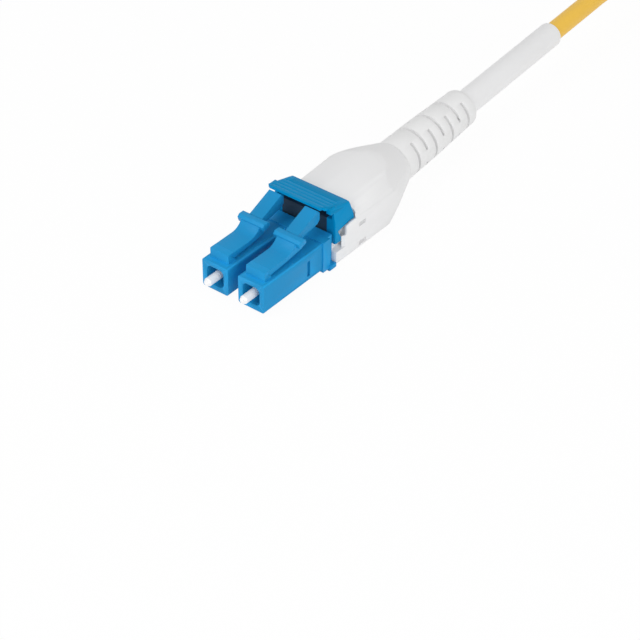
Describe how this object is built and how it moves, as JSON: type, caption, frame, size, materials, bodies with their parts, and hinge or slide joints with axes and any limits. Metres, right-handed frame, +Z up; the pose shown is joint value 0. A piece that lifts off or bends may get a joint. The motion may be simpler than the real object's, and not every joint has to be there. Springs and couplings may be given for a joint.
{
  "type": "duplex fibre connector",
  "caption": "Duplex fibre plug with square noses, sprung ceramic ferrules, a shared latch trigger, a slotted boot and a round cable that ends in the same plug.",
  "frame": {"origin": "on the body's flat underside, midway between the two plugs, 6.6 mm behind the body's front face", "axes": "+Y from the plug faces back along the cable, +Z up towards the latches, +X to the right for someone who looks along +Y with +Z up"},
  "size_m": [0.0361, 0.253, 0.012],
  "materials": {
    "connector_blue": "moulded engineering plastic, satin gloss",
    "shell_white": "moulded plastic, fine satin",
    "boot_white": "soft moulded elastomer, satin",
    "sleeve_white": "smooth shrunk tube, satin",
    "cable_yellow": "extruded jacket, satin",
    "zirconia": "ground and polished ceramic",
    "plated_metal": "nickel plated",
    "spring_steel": "drawn wire",
    "buffer_white": "thin extruded tube",
    "crimp_metal": "crimped tube",
    "aramid": "loose strength yarn"
  },
  "bodies": {
    "connector": {"housing_left": "connector_blue", "spring_stop_left": "plated_metal", "buffer_tube_left": "buffer_white", "ferrule_spring_left": "spring_steel", "housing_right": "connector_blue", "spring_stop_right": "plated_metal", "buffer_tube_right": "buffer_white", "ferrule_spring_right": "spring_steel", "body_base": "shell_white", "body_cover": "shell_white", "boot": "boot_white", "strain_sleeve": "sleeve_white", "cable_core": "cable_yellow", "crimp_post": "plated_metal", "crimp_ring": "crimp_metal", "aramid_yarn": "aramid", "far_housing_left": "connector_blue", "far_spring_stop_left": "plated_metal", "far_buffer_tube_left": "buffer_white", "far_ferrule_spring_left": "spring_steel", "far_housing_right": "connector_blue", "far_spring_stop_right": "plated_metal", "far_buffer_tube_right": "buffer_white", "far_ferrule_spring_right": "spring_steel", "far_body_base": "shell_white", "far_body_cover": "shell_white", "far_boot": "boot_white", "far_strain_sleeve": "sleeve_white", "far_cable_core": "cable_yellow", "far_crimp_post": "plated_metal", "far_crimp_ring": "crimp_metal", "far_aramid_yarn": "aramid", "cable_run": "cable_yellow", "cable_coil": "cable_yellow", "far_cable_run": "cable_yellow"},
    "ferrule_left": {"ferrule_left": "zirconia", "ferrule_flange_left": "plated_metal"},
    "latch_left": {"latch_left": "connector_blue"},
    "ferrule_right": {"ferrule_right": "zirconia", "ferrule_flange_right": "plated_metal"},
    "latch_right": {"latch_right": "connector_blue"},
    "trigger": {"trigger": "connector_blue"},
    "far_ferrule_left": {"far_ferrule_left": "zirconia", "far_ferrule_flange_left": "plated_metal"},
    "far_latch_left": {"far_latch_left": "connector_blue"},
    "far_ferrule_right": {"far_ferrule_right": "zirconia", "far_ferrule_flange_right": "plated_metal"},
    "far_latch_right": {"far_latch_right": "connector_blue"},
    "far_trigger": {"far_trigger": "connector_blue"}
  },
  "joints": [
    {"name": "ferrule_left_float", "type": "slide", "parent": "connector", "child": "ferrule_left", "axis": [0, 1, 0], "range_m": [0, 0.001], "stiffness_N_per_m": 2000, "springref_m": -0.002, "deforming": ["ferrule_spring_left"]},
    {"name": "latch_left_flex", "type": "hinge", "parent": "connector", "child": "latch_left", "pos_m": [-0.00313, -0.0192, 0.00599], "axis": [1, 0, 0], "range_deg": [-9.2, 0], "stiffness_Nm_per_rad": 0.02},
    {"name": "ferrule_right_float", "type": "slide", "parent": "connector", "child": "ferrule_right", "axis": [0, 1, 0], "range_m": [0, 0.001], "stiffness_N_per_m": 2000, "springref_m": -0.002, "deforming": ["ferrule_spring_right"]},
    {"name": "latch_right_flex", "type": "hinge", "parent": "connector", "child": "latch_right", "pos_m": [0.00313, -0.0192, 0.00599], "axis": [1, 0, 0], "range_deg": [-9.2, 0], "stiffness_Nm_per_rad": 0.02},
    {"name": "trigger_press", "type": "hinge", "parent": "connector", "child": "trigger", "pos_m": [0, -0.003, 0.00659], "axis": [1, 0, 0], "range_deg": [0, 15], "stiffness_Nm_per_rad": 0.05},
    {"name": "far_ferrule_left_float", "type": "slide", "parent": "connector", "child": "far_ferrule_left", "axis": [0, -1, 0], "range_m": [0, 0.001], "stiffness_N_per_m": 2000, "springref_m": -0.002, "deforming": ["far_ferrule_spring_left"]},
    {"name": "far_latch_left_flex", "type": "hinge", "parent": "connector", "child": "far_latch_left", "pos_m": [0.00313, 0.22541, 0.00599], "axis": [-1, 0, 0], "range_deg": [-9.2, 0], "stiffness_Nm_per_rad": 0.02},
    {"name": "far_ferrule_right_float", "type": "slide", "parent": "connector", "child": "far_ferrule_right", "axis": [0, -1, 0], "range_m": [0, 0.001], "stiffness_N_per_m": 2000, "springref_m": -0.002, "deforming": ["far_ferrule_spring_right"]},
    {"name": "far_latch_right_flex", "type": "hinge", "parent": "connector", "child": "far_latch_right", "pos_m": [-0.00313, 0.22541, 0.00599], "axis": [-1, 0, 0], "range_deg": [-9.2, 0], "stiffness_Nm_per_rad": 0.02},
    {"name": "far_trigger_press", "type": "hinge", "parent": "connector", "child": "far_trigger", "pos_m": [0, 0.20921, 0.00659], "axis": [-1, 0, 0], "range_deg": [0, 15], "stiffness_Nm_per_rad": 0.05}
  ],
  "couplings": [
    {"joint": "latch_left_flex", "follows": "trigger_press", "ratio": -0.6},
    {"joint": "latch_right_flex", "follows": "trigger_press", "ratio": -0.6},
    {"joint": "far_latch_left_flex", "follows": "far_trigger_press", "ratio": -0.6},
    {"joint": "far_latch_right_flex", "follows": "far_trigger_press", "ratio": -0.6}
  ]
}
